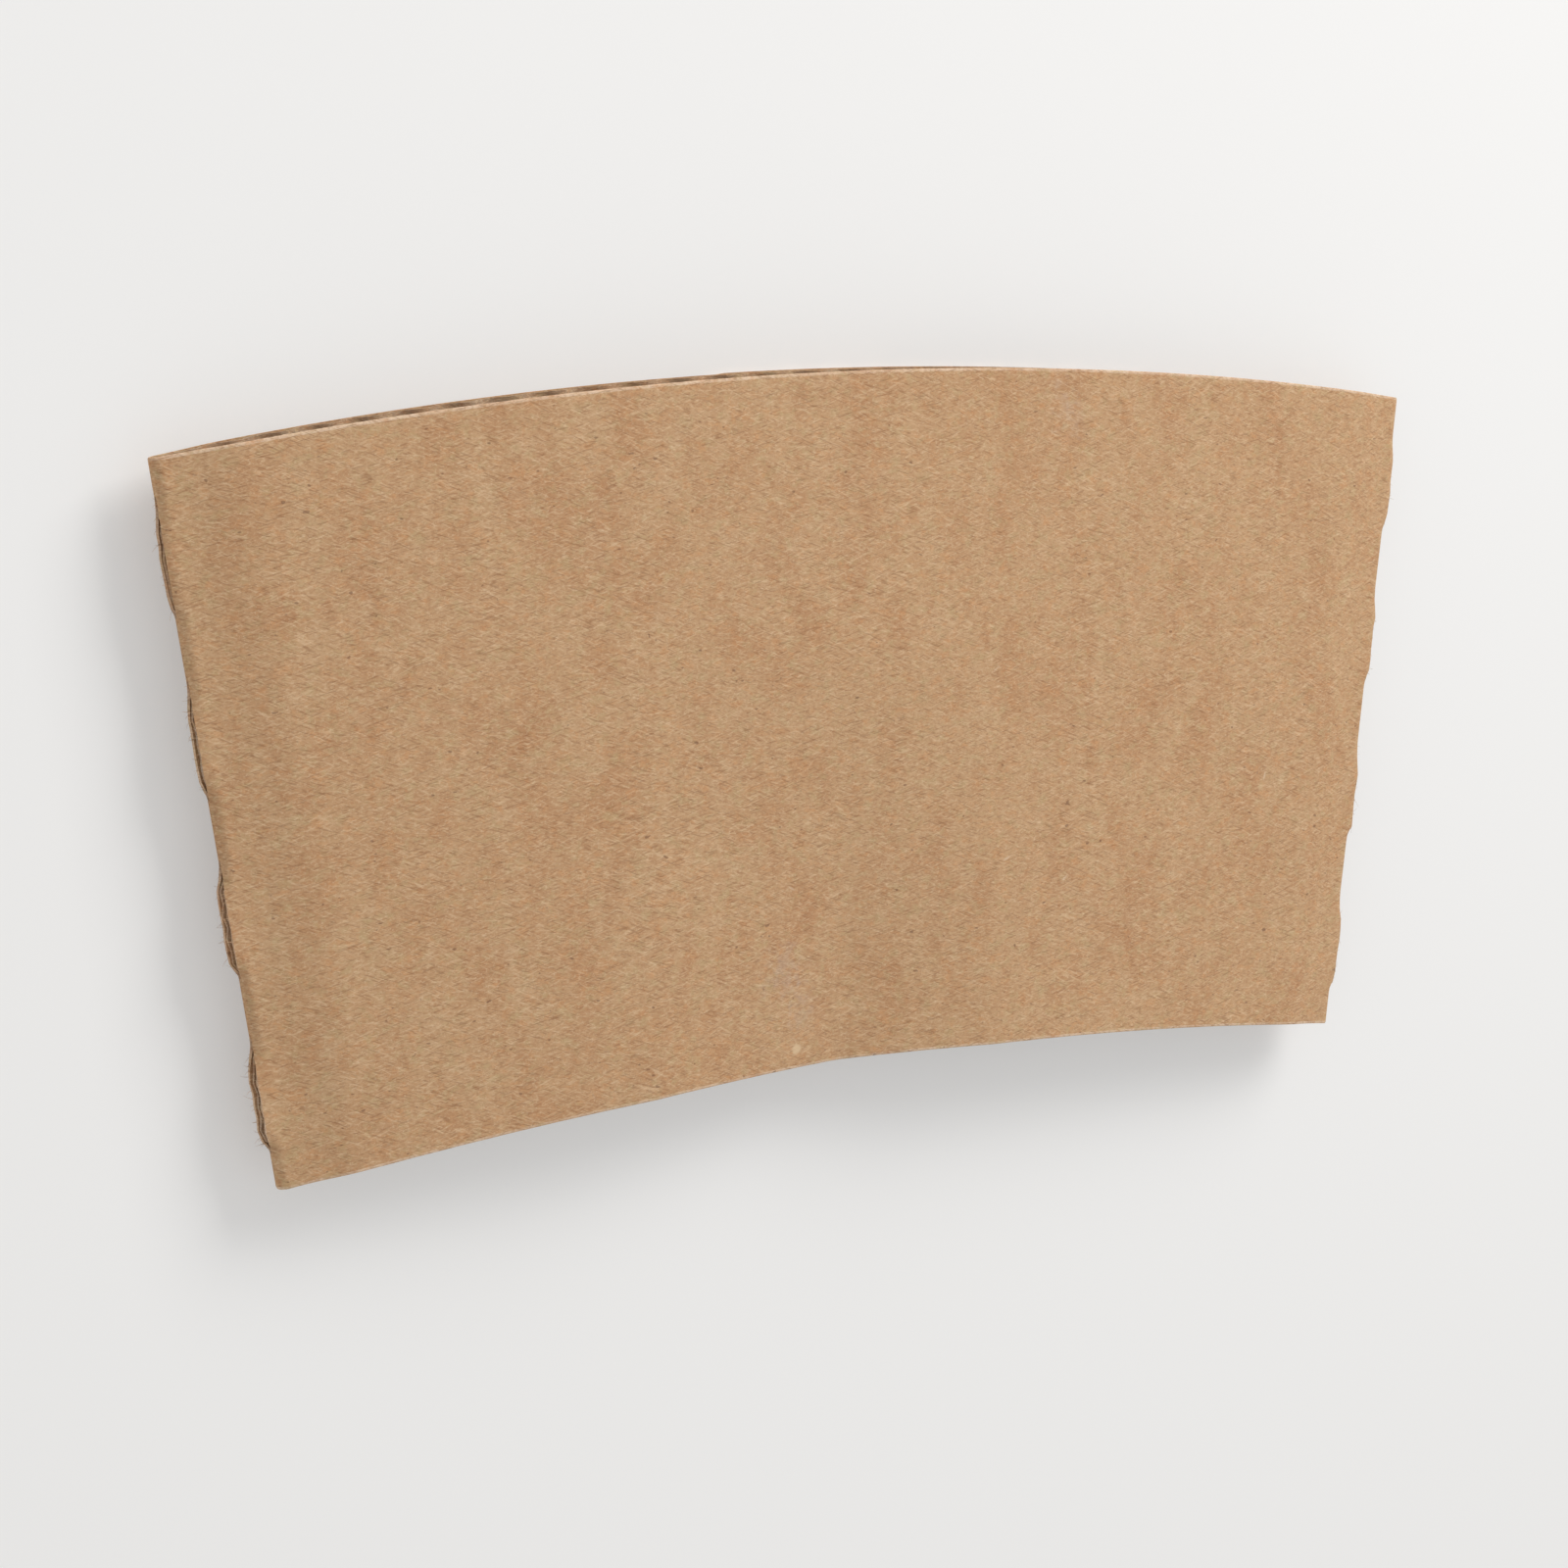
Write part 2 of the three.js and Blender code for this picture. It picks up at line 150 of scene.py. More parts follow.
def fold(turn, radius, depth, part, fray=0.0):
    """Places points of the blank after folding, in metres. The blank is given by the turn from its
    middle line and the radius, and depth is measured under the liner's face. Beside the fold the
    board goes round a quarter turn of FOLD_RADIUS, and straight on where it is slit. Past it a
    parabola lifts the panel's middle by RISE, and the wings' level strip lies on the ground.
    Fray is how far the knife's edge is torn back, at most."""
    side = 1 if part == "outer" else -1 if part == "inner" else np.where(turn < 0, -1.0, 1.0)
    inside = radius * np.sin(FOLD_ANGLE - np.abs(turn))
    along = radius * np.cos(FOLD_ANGLE - np.abs(turn))
    away = np.abs(inside)
    torn = SLIT_GAP / 2 + fray * (0.5 + 0.5 * waves(along * side, seed=5, length=TEAR_WAVE, count=7))
    torn = np.maximum(torn, LEAST_TEAR) * np.clip(1 - away / BEND, 0, 1)
    away = np.where(in_slit(along), away + torn, away)
    half = radius * math.sin(FOLD_ANGLE)
    middle = half - away

    bend = np.maximum(BEND - away, 0) / FOLD_RADIUS
    share = np.where(away < BEND, bent_share(along, part, side), 0)
    arm = FOLD_RADIUS - depth
    reach = away * (1 - share) + (BEND - arm * np.sin(bend)) * share
    rise = arm * (1 - share) + arm * np.cos(bend) * share
    rise = rise + PRESSED_STEP * (1 - pressed_share(away))

    level = 0 if part == "panel" else REST_WIDTH / 2
    lift = RISE - BOARD + GLUE_BITE if part == "inner" else RISE
    arch = 1 - np.clip((middle - level) / (half - BEND - level), 0, 1) ** 2
    height = rise + lift * arch
    height = height - dent(radius * np.sin(turn), radius) if part == "panel" else -height
    out = np.empty(np.broadcast(turn, radius, depth).shape + (3,))
    out[..., 0] = side * (along * math.sin(FOLD_ANGLE) - reach * math.cos(FOLD_ANGLE))
    out[..., 1] = along * math.cos(FOLD_ANGLE) + reach * math.sin(FOLD_ANGLE) - Y_MIDDLE
    out[..., 2] = FOLD_LEVEL + height
    return out * (WITHIN * MM, WITHIN * MM, MM)


BEND_COLUMNS, CRUSH_COLUMNS, CORNER_COLUMNS = 8, 9, 9


def columns(part, steps_per_flute):
    """Turns of a part's columns: even steps, finer ones beside the folds and round the corners."""
    bend = np.linspace(0, BEND, BEND_COLUMNS)
    crush = np.linspace(BEND, BEND + CRUSH_WIDTH, CRUSH_COLUMNS)
    fine = np.concatenate([bend, crush[1:]]) / MID_RADIUS
    step = FLUTE_PITCH / steps_per_flute / MID_RADIUS
    if part == "panel":
        edge = FOLD_ANGLE - fine[::-1]
        plain = np.linspace(-edge[0], edge[0], int(2 * edge[0] / step) + 1)
        return np.concatenate([-edge[::-1], plain[1:-1], edge])
    end = OUTER_END if part == "outer" else INNER_END
    edge = FOLD_ANGLE + fine
    quarter = np.linspace(0, np.pi / 2, CORNER_COLUMNS)
    corner = end - CORNER_RADIUS / MID_RADIUS * (1 - np.cos(quarter))[::-1]
    plain = np.linspace(edge[-1], corner[0], int((corner[0] - edge[-1]) / step) + 1)
    turns = np.concatenate([edge, plain[1:-1], corner])
    return turns if part == "outer" else -turns[::-1]


RIM_ROWS = np.array([0.02, 0.08, 0.15, 0.24])  # rows of the mesh, from each arc
SLIT_LOWER_ROWS = np.array([0, 0.02, 0.35, 0.7])  # from a slit's lower end
SLIT_UPPER_ROWS = np.array([-1.5, -0.5, -0.02, 0])  # from its upper end
EVEN_ROWS = 61
LEAST_ROW = 0.015


def rows():
    """Shares of the way from the lower to the upper arc: even, with more at the rims and at the ends
    of the slits."""
    marks = [np.linspace(0, HEIGHT, EVEN_ROWS), RIM_ROWS, HEIGHT - RIM_ROWS]
    for start in SLIT_STARTS - BOTTOM_RADIUS:
        marks.append(start + SLIT_LOWER_ROWS)
        marks.append(start + SLIT + SLIT_UPPER_ROWS)
    heights = np.unique(np.round(np.concatenate(marks), 3))
    keep = np.concatenate([[True], np.diff(heights) > LEAST_ROW])
    return heights[keep] / HEIGHT


def sheet(part, steps_per_flute, near, far, fray, recess=0.0, rim=0.0):
    """A closed sheet between two depths under the liner's face, on a grid of turn and radius. Where
    a wing's free corners are round, the radii draw in by the quarter circle's inset. Recess is how
    far the sheet ends inside both arcs. Returns the points, the faces and which of the faces are cut
    edges: the walls, and the near side's strips within a rim's width of an arc."""
    turn, share = np.meshgrid(columns(part, steps_per_flute), rows(), indexing="ij")
    inset = np.zeros_like(turn)
    if part != "panel":
        end = OUTER_END if part == "outer" else INNER_END
        left = np.clip(CORNER_RADIUS - (end - np.abs(turn)) * MID_RADIUS, 0, CORNER_RADIUS)
        inset = CORNER_RADIUS - np.sqrt(CORNER_RADIUS ** 2 - left ** 2)
    inset = inset + recess
    radius = BOTTOM_RADIUS + inset + (HEIGHT - 2 * inset) * share
    n, m = turn.shape
    points = [
        fold(turn, radius, depth(turn, radius), part, fray).reshape(-1, 3) for depth in (near, far)
    ]
    index = np.arange(n * m).reshape(n, m)
    a, b, c, d = index[:-1, :-1], index[1:, :-1], index[1:, 1:], index[:-1, 1:]
    near_side = np.stack([a, d, c, b], -1).reshape(-1, 4)
    far_side = np.stack([a, b, c, d], -1).reshape(-1, 4) + n * m
    edge = np.concatenate([index[:, 0], index[-1, 1:], index[-2::-1, -1], index[0, -2:0:-1]])
    order = np.arange(len(edge))
    after = np.roll(order, -1)
    wall = 2 * n * m + np.stack([order, after, after + len(edge), order + len(edge)], -1)
    points += [points[0][edge], points[1][edge]]
    faces = np.concatenate([near_side, far_side, wall])[:, ::-1]
    height = (share[:-1, 1:] + share[:-1, :-1]).ravel() * HEIGHT / 2
    strip = np.minimum(height, HEIGHT - height) < rim
    cut = np.concatenate([strip, np.zeros(len(far_side), bool), np.ones(len(wall), bool)])
    return np.concatenate(points), faces, cut


def mesh_object(name, sheets, materials):
    """One object from sheets, with its cut edges in the second material."""
    points, faces, cuts = [], [], []
    offset = 0
    for part_points, part_faces, part_cut in sheets:
        points.append(part_points)
        faces.append(part_faces + offset)
        cuts.append(part_cut)
        offset += len(part_points)
    points, faces, cuts = np.concatenate(points), np.concatenate(faces), np.concatenate(cuts)
    mesh = bpy.data.meshes.new(name)
    mesh.vertices.add(len(points))
    mesh.vertices.foreach_set("co", points.astype(np.float32).ravel())
    mesh.loops.add(faces.size)
    mesh.loops.foreach_set("vertex_index", faces.astype(np.int32).ravel())
    mesh.polygons.add(len(faces))
    mesh.polygons.foreach_set("loop_start", np.arange(0, faces.size, 4, dtype=np.int32))
    mesh.polygons.foreach_set("material_index", cuts.astype(np.int32))
    mesh.polygons.foreach_set("use_smooth", ~cuts)
    mesh.update(calc_edges=True)
    mesh.validate()
    for material in materials:
        mesh.materials.append(material)
    made = bpy.data.objects.new(name, mesh)
    bpy.context.collection.objects.link(made)
    return made


def kraft_group():
    """Group from a place in mm and a ground colour to kraft paper's colour and relief. Unbleached
    kraft is clouded where the pulp lies thicker, its hue wanders between rust and straw, and fine
    fibres, darker or lighter than the ground, lie mostly across the flutes."""
    group = bpy.data.node_groups.new("KraftPaper", "ShaderNodeTree")
    group.interface.new_socket("Vector", in_out="INPUT", socket_type="NodeSocketVector")
    group.interface.new_socket("Base", in_out="INPUT", socket_type="NodeSocketColor")
    group.interface.new_socket("Color", in_out="OUTPUT", socket_type="NodeSocketColor")
    group.interface.new_socket("Relief", in_out="OUTPUT", socket_type="NodeSocketFloat")
    nodes, links = group.nodes, group.links
    group_in, group_out = nodes.new("NodeGroupInput"), nodes.new("NodeGroupOutput")

    def noise(stretch, turn=0.0, detail=2.0, roughness=0.5, shift=0.0):
        """Noise with so many cells per mm along each axis, turned about Z by some degrees."""
        turned, scaled = nodes.new("ShaderNodeMapping"), nodes.new("ShaderNodeMapping")
        turned.inputs["Rotation"].default_value = (0, 0, math.radians(turn))
        scaled.inputs["Scale"].default_value = stretch
        scaled.inputs["Location"].default_value = (shift, shift, shift)
        texture = nodes.new("ShaderNodeTexNoise")
        texture.inputs["Scale"].default_value = 1.0
        texture.inputs["Detail"].default_value = detail
        texture.inputs["Roughness"].default_value = roughness
        links.new(group_in.outputs["Vector"], turned.inputs["Vector"])
        links.new(turned.outputs["Vector"], scaled.inputs["Vector"])
        links.new(scaled.outputs["Vector"], texture.inputs["Vector"])
        return texture.outputs["Fac"]

    def tint(color, value, low, high, most, shade):
        """Mixes a shade in: not at all where the value is below low, by most where it is above high,
        with a cubic step between."""
        step, mixed = nodes.new("ShaderNodeMapRange"), nodes.new("ShaderNodeMix")
        step.interpolation_type = "SMOOTHSTEP"
        step.inputs["From Min"].default_value = low
        step.inputs["From Max"].default_value = high
        step.inputs["To Max"].default_value = most
        mixed.data_type = "RGBA"
        mixed.inputs["B"].default_value = shade + (1,)
        links.new(value, step.inputs["Value"])
        links.new(step.outputs["Result"], mixed.inputs["Factor"])
        links.new(color, mixed.inputs["A"])
        return mixed.outputs["Result"]

    color = group_in.outputs["Base"]
    clouds = noise((0.22, 0.12, 0.15), 0, 4.0, 0.6)
    color = tint(color, clouds, 0.42, 0.68, 0.4, (0.435, 0.205, 0.094))
    bands = noise((0.42, 0.16, 0.2), 4, 3.0, 0.6, 31.0)
    color = tint(color, bands, 0.5, 0.72, 0.34, (0.42, 0.2, 0.094))
    patches = noise((0.3, 0.45, 0.3), 0, 4.0, 0.65, 57.0)
    color = tint(color, patches, 0.5, 0.74, 0.34, (0.63, 0.45, 0.28))
    rust = noise((0.8, 1.1, 0.8), 10, 5.0, 0.72, 201.0)
    color = tint(color, rust, 0.48, 0.68, 0.6, (0.6, 0.312, 0.145))
    straw = noise((0.7, 0.9, 0.7), -8, 5.0, 0.72, 311.0)
    color = tint(color, straw, 0.48, 0.68, 0.6, (0.505, 0.375, 0.2))
    grain = noise((2.8, 4.6, 2.6), 4, 3.0, 0.78, 5.0)
    color = tint(color, grain, 0.42, 0.68, 0.43, (0.34, 0.155, 0.07))
    speckle = noise((3.6, 4.6, 3.4), -20, 2.0, 0.75, 83.0)
    color = tint(color, speckle, 0.52, 0.72, 0.48, (0.7, 0.52, 0.34))
    fibres = []
    for turn, shift in ((-20, 11.0), (6, 23.0), (27, 47.0)):
        fibre = noise((0.85, 7.5, 2.0), turn, 1.0, 0.3, shift)
        fibres.append(fibre)
        color = tint(color, fibre, 0.6, 0.72, 0.32, (0.76, 0.56, 0.36))
    for turn, shift in ((-12, 71.0), (20, 97.0)):
        fibre = noise((0.85, 8.0, 2.0), turn, 1.0, 0.3, shift)
        color = tint(color, fibre, 0.6, 0.72, 0.4, (0.25, 0.12, 0.055))
    specks = noise((1.3, 2.1, 1.5), 0, 1.0, 0.3, 131.0)
    color = tint(color, specks, 0.765, 0.8, 0.55, (0.15, 0.075, 0.045))
    links.new(color, group_out.inputs["Color"])

    felt, relief = nodes.new("ShaderNodeMath"), nodes.new("ShaderNodeMath")
    felt.operation = "ADD"
    links.new(fibres[0], felt.inputs[0])
    links.new(fibres[1], felt.inputs[1])
    relief.operation = "MULTIPLY_ADD"
    relief.inputs[1].default_value = 0.5
    links.new(felt.outputs["Value"], relief.inputs[0])
    links.new(grain, relief.inputs[2])
    links.new(relief.outputs["Value"], group_out.inputs["Relief"])
    return group


KRAFT = kraft_group()


def kraft_material(name, ground, bump, roughness=0.9):
    """Material of the kraft group, on object coordinates in millimetres."""
    material = bpy.data.materials.new(name)
    material.use_nodes = True
    nodes, links = material.node_tree.nodes, material.node_tree.links
    shader = nodes["Principled BSDF"]
    shader.inputs["Roughness"].default_value = roughness
    shader.inputs["Specular IOR Level"].default_value = 0.25
    place, scale = nodes.new("ShaderNodeTexCoord"), nodes.new("ShaderNodeVectorMath")
    scale.name = "Millimetres"
    scale.operation = "SCALE"
    scale.inputs["Scale"].default_value = 1 / MM
    paper = nodes.new("ShaderNodeGroup")
    paper.node_tree = KRAFT
    paper.inputs["Base"].default_value = ground + (1,)
    relief = nodes.new("ShaderNodeBump")
    relief.inputs["Strength"].default_value = bump
    relief.inputs["Distance"].default_value = 0.06 * MM
    links.new(place.outputs["Object"], scale.inputs[0])
    links.new(scale.outputs["Vector"], paper.inputs["Vector"])
    links.new(paper.outputs["Relief"], relief.inputs["Height"])
    links.new(relief.outputs["Normal"], shader.inputs["Normal"])
    links.new(paper.outputs["Color"], shader.inputs["Base Color"])
    return material


MARK_DEPTH = 4.0  # half an oval's height over and under the paper


def add_mark(material, centre, size, turn, shade, strength, broken=0.7):
    """Tints the paper in an oval round a place in mm, turned by some degrees. Noise breaks its rim,
    and with a high value of broken it leaves only scattered flecks."""
    nodes, links = material.node_tree.nodes, material.node_tree.links
    color = nodes["Principled BSDF"].inputs["Base Color"]
    below = color.links[0].from_socket
    place = nodes["Millimetres"].outputs["Vector"]
    oval, length = nodes.new("ShaderNodeMapping"), nodes.new("ShaderNodeVectorMath")
    oval.vector_type = "TEXTURE"
    oval.inputs["Location"].default_value = centre
    oval.inputs["Rotation"].default_value = (0, 0, math.radians(turn))
    oval.inputs["Scale"].default_value = size + (MARK_DEPTH,)
    length.operation = "LENGTH"
    grain, edge = nodes.new("ShaderNodeTexNoise"), nodes.new("ShaderNodeMath")
    grain.inputs["Scale"].default_value = 1.4
    grain.inputs["Detail"].default_value = 4.0
    edge.operation = "MULTIPLY_ADD"
    edge.inputs[1].default_value = broken
    fade, mixed = nodes.new("ShaderNodeMapRange"), nodes.new("ShaderNodeMix")
    fade.interpolation_type = "SMOOTHSTEP"
    fade.inputs["From Min"].default_value = 1 + broken / 2
    fade.inputs["From Max"].default_value = 0.65 + broken / 4
    fade.inputs["To Max"].default_value = strength
    mixed.data_type = "RGBA"
    mixed.inputs["B"].default_value = shade + (1,)
    links.new(place, oval.inputs["Vector"])
    links.new(oval.outputs["Vector"], length.inputs[0])
    links.new(place, grain.inputs["Vector"])
    links.new(grain.outputs["Fac"], edge.inputs[0])
    links.new(length.outputs["Value"], edge.inputs[2])
    links.new(edge.outputs["Value"], fade.inputs["Value"])
    links.new(fade.outputs["Result"], mixed.inputs["Factor"])
    links.new(below, mixed.inputs["A"])
    links.new(mixed.outputs["Result"], color)


RIM_WIDTH = 0.24  # pale strip along the two arcs, where the knife has rounded the liner's edge
RIM_DROP = 0.08


def face_depth(turn, radius):
    """Depth of the liner's face: a cosine sag of WASHBOARD between two flutes' glue lines, and a
    quarter ellipse of RIM_WIDTH by RIM_DROP at both arcs."""
    sag = WASHBOARD / 2 * (1 - np.cos(2 * np.pi * radius * np.sin(turn) / FLUTE_PITCH))
    t = np.clip(1 - np.minimum(TOP_RADIUS - radius, radius - BOTTOM_RADIUS) / RIM_WIDTH, 0, 1)
    return sag + RIM_DROP * (1 - np.sqrt(1 - t ** 2))


def back_depth(turn, radius):
    """Depth of the liner's back."""
    return np.full_like(turn, LINER)


LINER_STEPS = 5  # columns to a flute
LINER_FRAY = 0.07  # tear of the slits' edges, at most
face_paper = kraft_material("liner_kraft", (0.545, 0.342, 0.19), 0.2)
SCUFF = (0.56, 0.45, 0.37)
PALE_FIBRE = (0.72, 0.57, 0.42)
BARE_SPOT = (0.7, 0.52, 0.33)
BARK = (0.2, 0.11, 0.07)
add_mark(face_paper, (-8.3, -19.6, 7.0), (2.6, 3.2), 0, SCUFF, 0.26, 3.4)
add_mark(face_paper, (-6.3, -23.0, 7.0), (1.7, 2.8), 0, SCUFF, 0.22, 3.4)
add_mark(face_paper, (22.0, 28.4, 7.0), (2.2, 3.6), 10, SCUFF, 0.26, 3.4)
add_mark(face_paper, (-6.8, -26.3, 6.0), (0.66, 0.6), 20, BARE_SPOT, 0.75)
add_mark(face_paper, (15.0, -11.5, 7.0), (0.6, 0.14), 22, PALE_FIBRE, 0.5)
add_mark(face_paper, (21.5, -14.0, 7.0), (0.5, 0.16), 35, PALE_FIBRE, 0.42)
add_mark(face_paper, (-7.5, -12.0, 7.0), (0.55, 0.12), -30, PALE_FIBRE, 0.4)
add_mark(face_paper, (14.0, 5.5, 7.0), (0.8, 0.12), 35, PALE_FIBRE, 0.32)
add_mark(face_paper, (46.0, -7.0, 7.0), (0.55, 0.18), 75, PALE_FIBRE, 0.45)
add_mark(face_paper, (46.0, -21.6, 6.0), (0.34, 0.24), 0, BARK, 0.7)
edge_paper = kraft_material("liner_cut_edge", (0.74, 0.56, 0.41), 0.5, 0.95)
liner = mesh_object(
    "liner",
    [sheet(part, LINER_STEPS, face_depth, back_depth, LINER_FRAY, rim=RIM_WIDTH) for part in PARTS],
    [face_paper, edge_paper],
)
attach(liner, "root")
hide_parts("sleeve")


# Flutes. The bare corrugated sheet behind the liner, 0.25 mm of greyer recycled fibre. It is formed
# hot between rollers and stuck to the liner at its valleys, and the folds press it almost flat. At
# the arcs it springs back a little behind the liner's cut edge.
FLUTE_RECESS = 0.06
FLUTE_STEPS = 7  # columns to a flute
FLUTE_FRAY = 0.34  # tear of the slits' edges, at most
UNEVEN_CRUSH, CRUSH_WAVE = 0.8, 3.0  # share by which the crushed height strays, and its wavelength


def flute_depth(turn, radius):
    """Depth of the flutes' near side: cosine waves under the liner, lower beside the folds."""
    away = np.abs(radius * np.sin(FOLD_ANGLE - np.abs(turn)))
    full = BOARD - LINER - MEDIUM
    uneven = UNEVEN_CRUSH * waves(radius * np.sign(turn), seed=3, length=CRUSH_WAVE)
    crushed = CRUSHED_FLUTE * (1 + uneven)
    height = full + (crushed - full) * pressed_share(away)
    wave = (1 - np.cos(2 * np.pi * radius * np.sin(turn) / FLUTE_PITCH)) / 2
    return LINER + height * wave


def flute_back_depth(turn, radius):
    """Depth of the flutes' bare side, one paper's thickness past the near side."""
    return flute_depth(turn, radius) + MEDIUM


bare_paper = kraft_material("flute_paper", (0.39, 0.28, 0.19), 0.6, 0.95)
bare_edge = kraft_material("flute_cut_edge", (0.43, 0.335, 0.255), 0.5, 0.95)
flutes = mesh_object(
    "flutes",
    [
        sheet(part, FLUTE_STEPS, flute_depth, flute_back_depth, FLUTE_FRAY, recess=FLUTE_RECESS)
        for part in PARTS
    ],
    [bare_paper, bare_edge],
)
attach(flutes, "root")
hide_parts("sleeve")

# Torn fibres. Where the knife and the fold have torn the slits' edges, fine pale fibres of the
# paper stick out by up to a millimetre.
FIBRES = 260
FIBRE_REACH = 64.3  # the widest place of a fibre, inside the sleeve's own width
FIBRE_PARTS = (0.5, 0.2, 0.3)  # share of the fibres on each of PARTS
FIBRE_MARGIN = 0.3  # from a slit's ends
FIBRE_ROOT = (0.1, 0.7)  # distances from the fold of a fibre's root and of a point behind it
FIBRE_DEPTHS = (0.02, 0.28)  # of the root under the liner's face
FIBRE_LENGTHS = (0.2, 0.75)
FIBRE_ROOTED = 0.1  # share of the length that is sunk in the paper
FIBRE_SWAY = (0.25, 0.5, 0.2)  # sideways droop along each axis, by share of the length
FIBRE_RADIUS, FIBRE_TAPER = 0.022, 0.014
FIBRE_RINGS, FIBRE_SIDES = 6, 3


def torn_fibres():
    """Thin three-sided tubes along parabolas that start in the slits' edges and droop sideways."""
    random = np.random.default_rng(8)
    points, faces = [], []
    t = np.linspace(0, 1, FIBRE_RINGS)[:, None]
    ring = np.arange(FIBRE_SIDES) * 2 * np.pi / FIBRE_SIDES
    corners = FIBRE_RINGS * FIBRE_SIDES
    for _ in range(FIBRES):
        part = random.choice(PARTS, p=FIBRE_PARTS)
        side = {"panel": random.choice([-1, 1]), "outer": 1, "inner": -1}[part]
        along = random.choice(SLIT_STARTS) + random.uniform(FIBRE_MARGIN, SLIT - FIBRE_MARGIN)
        offset = np.array(FIBRE_ROOT) / along * (1 if part == "panel" else -1)
        turn = side * (FOLD_ANGLE - offset)
        depth = random.uniform(*FIBRE_DEPTHS)
        root, inner = fold(turn, np.full(2, along), np.full(2, depth), part)
        out = (root - inner) / np.linalg.norm(root - inner)
        length = random.uniform(*FIBRE_LENGTHS) * MM
        sway = random.normal(size=3) * FIBRE_SWAY
        path = root + length * (out * (t * (1 + FIBRE_ROOTED) - FIBRE_ROOTED) + sway * t ** 2)
        if np.abs(path[:, 0]).max() > FIBRE_REACH * MM:
            continue
        across = np.cross(out, (0.0, 0.0, 1.0))
        across /= np.linalg.norm(across)
        other = np.cross(out, across)
        width = (FIBRE_RADIUS - FIBRE_TAPER * t) * MM
        tube = path[:, None] + width[:, None] * (
            np.cos(ring)[None, :, None] * across + np.sin(ring)[None, :, None] * other
        )
        index = corners * len(points) + np.arange(corners).reshape(FIBRE_RINGS, FIBRE_SIDES)
        after = np.roll(index, -1, axis=1)
        faces.append(np.stack([index[:-1], after[:-1], after[1:], index[1:]], -1).reshape(-1, 4))
        points.append(tube.reshape(-1, 3))
    faces = np.concatenate(faces)
    return np.concatenate(points), faces, np.zeros(len(faces), bool)


fibre_paper = kraft_material("torn_fibre", (0.66, 0.48, 0.32), 0.0, 0.95)
fibres = mesh_object("torn_fibres", [torn_fibres()], [fibre_paper])
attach(fibres, "root")

# Floor. A plain pale sheet under the sleeve, which keeps its shadow. To the camera it is partly
# white of its own, so that it stays pale all over and doesn't clip near the lamp.
FLOOR_HALF = 3.0
FLOOR_SHADE = 0.93  # for the light that it throws back on the sleeve
FLOOR_SEEN_SHADE = 0.54  # for the camera, with FLOOR_GLOW on top
FLOOR_GLOW = 0.32
floor_corners = [(x * FLOOR_HALF, y * FLOOR_HALF, 0) for x, y in ((-1, -1), (1, -1), (1, 1), (-1, 1))]
floor_mesh = bpy.data.meshes.new("floor")
floor_mesh.from_pydata(floor_corners, [], [(0, 1, 2, 3)])
floor = bpy.data.objects.new("floor", floor_mesh)
bpy.context.collection.objects.link(floor)
floor_paint = bpy.data.materials.new("floor")
floor_paint.use_nodes = True
floor_nodes, floor_links = floor_paint.node_tree.nodes, floor_paint.node_tree.links
floor_shader, seen = floor_nodes["Principled BSDF"], floor_nodes.new("ShaderNodeLightPath")
floor_shade, floor_glow = floor_nodes.new("ShaderNodeMapRange"), floor_nodes.new("ShaderNodeMath")
floor_shade.inputs["To Min"].default_value = FLOOR_SHADE
floor_shade.inputs["To Max"].default_value = FLOOR_SEEN_SHADE
floor_glow.operation = "MULTIPLY"
floor_glow.inputs[1].default_value = FLOOR_GLOW
floor_links.new(seen.outputs["Is Camera Ray"], floor_shade.inputs["Value"])
floor_links.new(seen.outputs["Is Camera Ray"], floor_glow.inputs[0])
floor_links.new(floor_shade.outputs["Result"], floor_shader.inputs["Base Color"])
floor_links.new(floor_glow.outputs["Value"], floor_shader.inputs["Emission Strength"])
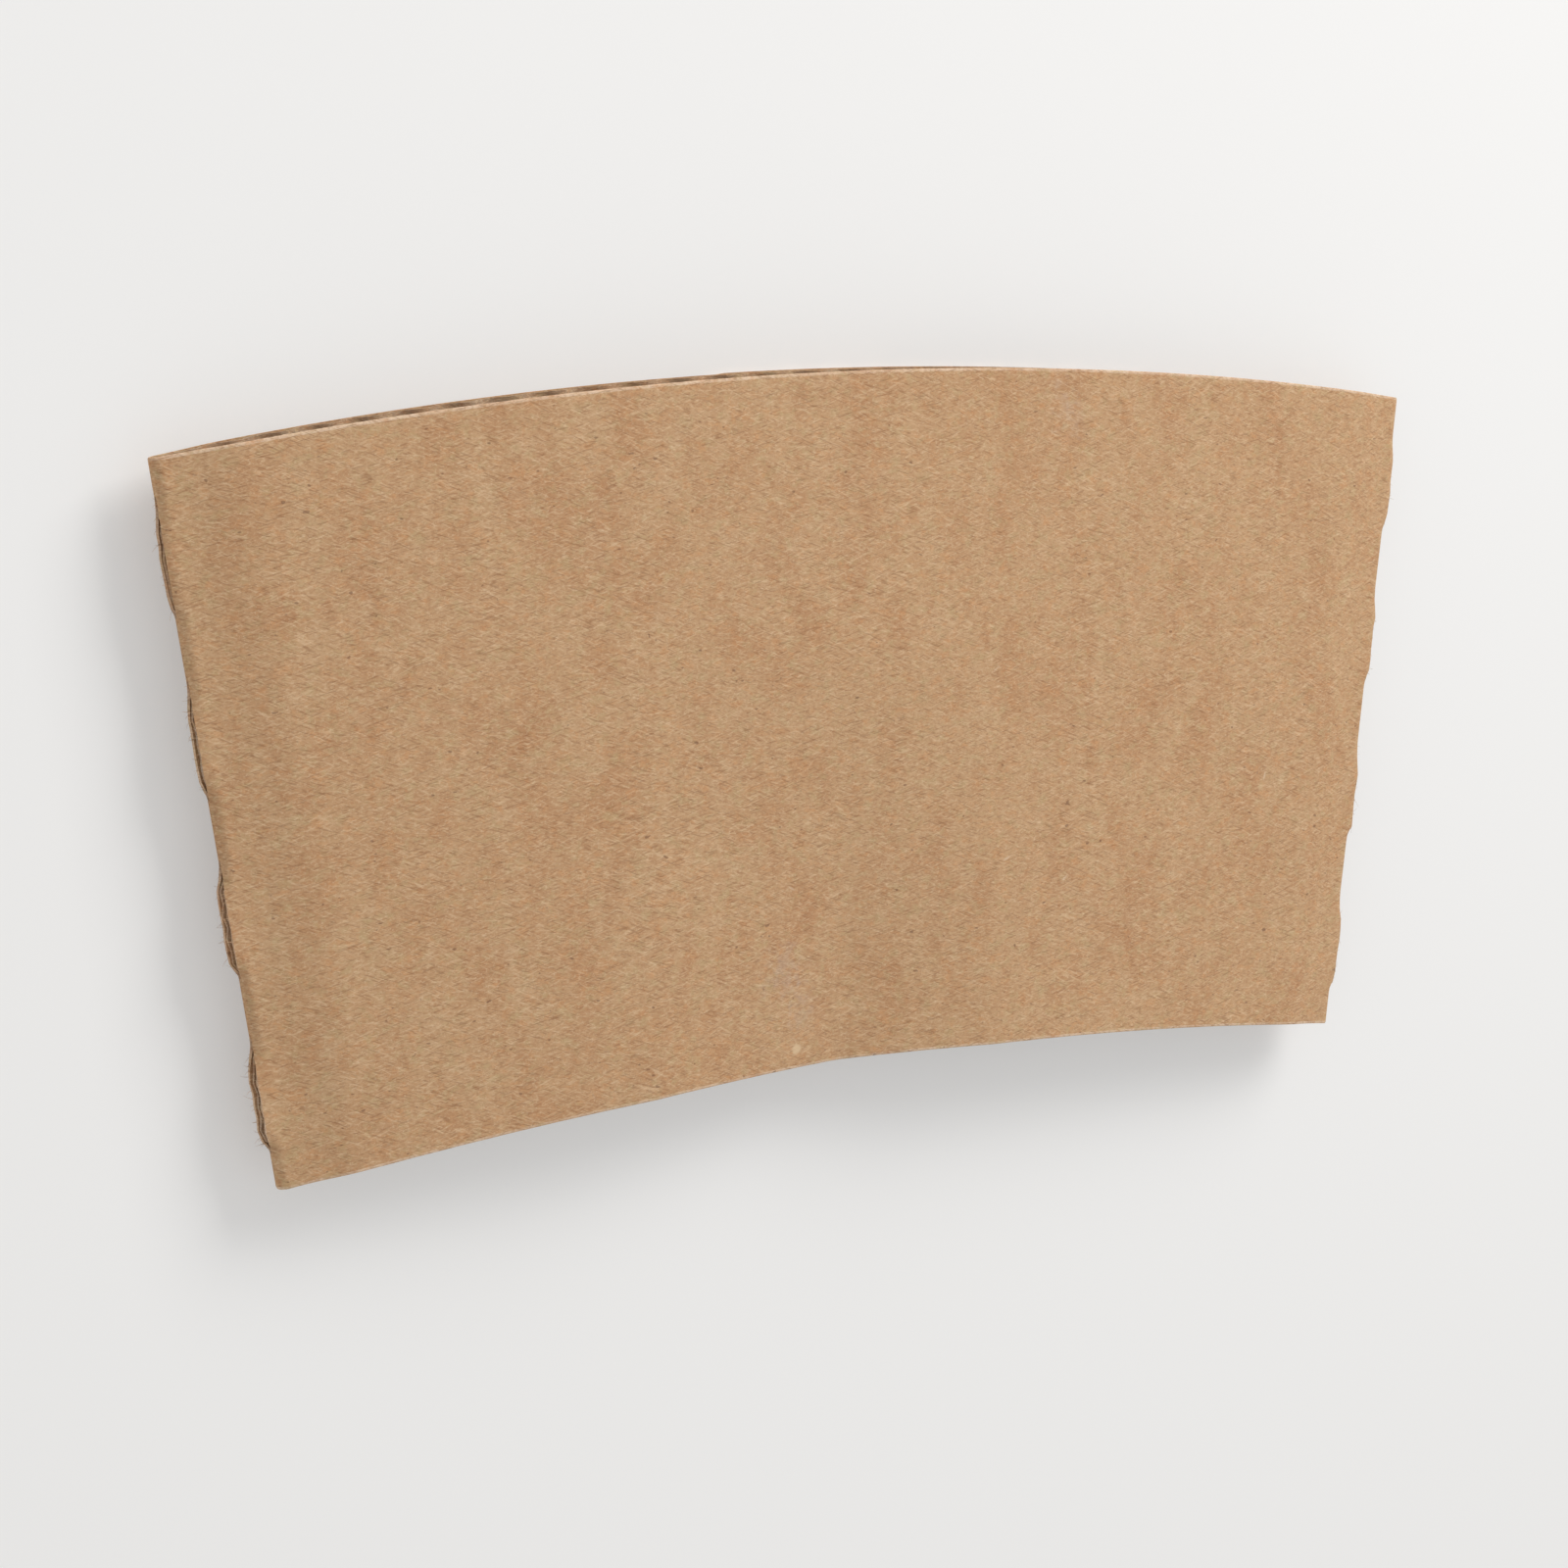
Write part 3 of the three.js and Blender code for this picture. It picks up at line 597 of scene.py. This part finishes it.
floor_shader.inputs["Emission Color"].default_value = (1, 1, 1, 1)
floor_shader.inputs["Roughness"].default_value = 0.8
floor_mesh.materials.append(floor_paint)

# Light. Soft studio light: a lamp past the wide edge's right end, a weak one from the left, and an
# even pale surround.
world = bpy.data.worlds.new("studio")
world.use_nodes = True
background = world.node_tree.nodes["Background"]
background.inputs["Color"].default_value = (1.0, 0.99, 0.97, 1)
background.inputs["Strength"].default_value = 0.55
bpy.context.scene.world = world


def aim(made, place, target, up):
    """Puts a lamp or camera at a place and points its -Z axis at the target, with its Y axis in the
    plane of up. Back is the unit vector from the target, and side is up x back."""
    back = (np.array(place) - target) / np.linalg.norm(np.array(place) - target)
    side = np.cross(up, back)
    side /= np.linalg.norm(side)
    up = np.cross(back, side)
    made.matrix_world = Matrix(
        [[side[i], up[i], back[i], place[i]] for i in range(3)] + [[0, 0, 0, 1]]
    )


def lamp(name, place, width, watts, color):
    """A square area lamp that faces the sleeve."""
    data = bpy.data.lights.new(name, "AREA")
    data.shape = "SQUARE"
    data.size = width
    data.energy = watts
    data.color = color
    made = bpy.data.objects.new(name, data)
    bpy.context.collection.objects.link(made)
    aim(made, place, (0.0, 0.0, 0.0), (0.0, 1.0, 0.3))


lamp("key", (0.3, 0.45, 0.38), width=0.36, watts=3.1, color=(1.0, 0.985, 0.96))
lamp("fill", (-0.8, 0.1, 0.9), width=0.8, watts=0.7, color=(1.0, 0.92, 0.82))

# Camera. At the photo's viewing angle and distance, and turned to the middle of the sleeve, so that
# it has the photo's perspective without a shift.
TARGET = np.array([-6.0, -3.4, 4.5]) * MM
EYE = np.array([-195.6, 43.5, 290.9]) * MM
PHOTO_UP = (0.009, 0.99982, 0.017)
camera_data = bpy.data.cameras.new("camera")
camera_data.lens = 92.0
camera_data.sensor_width = 36.0
camera_data.clip_start = 0.01
camera = bpy.data.objects.new("camera", camera_data)
bpy.context.collection.objects.link(camera)
aim(camera, EYE, TARGET, PHOTO_UP)
bpy.context.scene.camera = camera
bpy.context.scene.view_settings.view_transform = "Standard"
